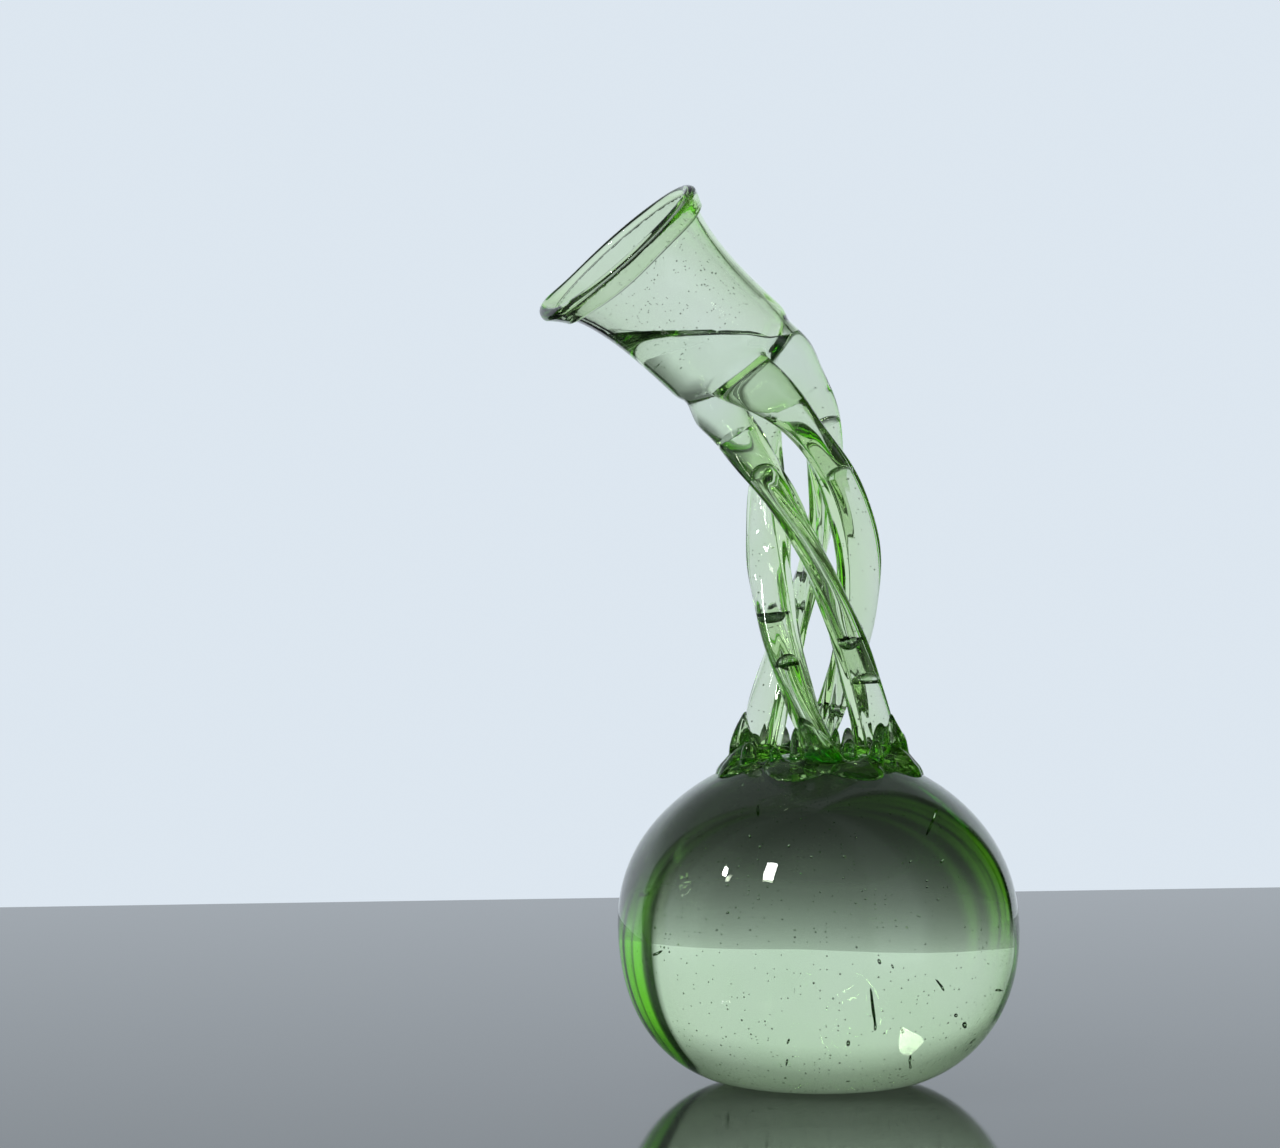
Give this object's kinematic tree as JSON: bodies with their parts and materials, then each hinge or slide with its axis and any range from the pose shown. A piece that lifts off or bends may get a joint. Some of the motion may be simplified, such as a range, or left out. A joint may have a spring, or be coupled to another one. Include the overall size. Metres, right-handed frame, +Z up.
{
  "type": "vase",
  "caption": "Hand blown pale green glass vase: round bulb, hollow tubes twisted together as a neck that bends over, and a tilted cup mouth with a folded lip.",
  "frame": {"origin": "centre of the ground base, on the bulb's vertical axis, at the height of the surface that it stands on", "axes": "+Z up along the bulb's axis; the neck bends over towards -X; the mouth is turned a little towards -Y"},
  "size_m": [0.1355, 0.1152, 0.2561],
  "materials": {
    "bulb_glass": "clear pale green blown glass with fine seeds, fire polished",
    "ground_glass": "ground and part polished pale green glass",
    "wreath_glass": "thick clear glass, deep green through its thickness, fire polished",
    "tube_glass": "clear pale green blown glass, thicker and greener at its edges, fire polished",
    "cup_glass": "clear pale green blown glass with fine seeds, fire polished",
    "lip_glass": "double thickness of clear pale green glass, fire polished",
    "water": "clear still water, as the vase is filled in use"
  },
  "bodies": {
    "root": {"bulb": "bulb_glass", "pontil_mark": "ground_glass", "root_wreath": "wreath_glass", "neck_tube_right": "tube_glass", "neck_tube_back": "tube_glass", "neck_tube_left": "tube_glass", "neck_tube_front": "tube_glass", "tube_foot_right": "wreath_glass", "tube_foot_back": "wreath_glass", "tube_foot_left": "wreath_glass", "tube_foot_front": "wreath_glass", "throat_saddle": "tube_glass", "mouth_cup": "cup_glass", "folded_lip": "lip_glass"}
  },
  "joints": []
}
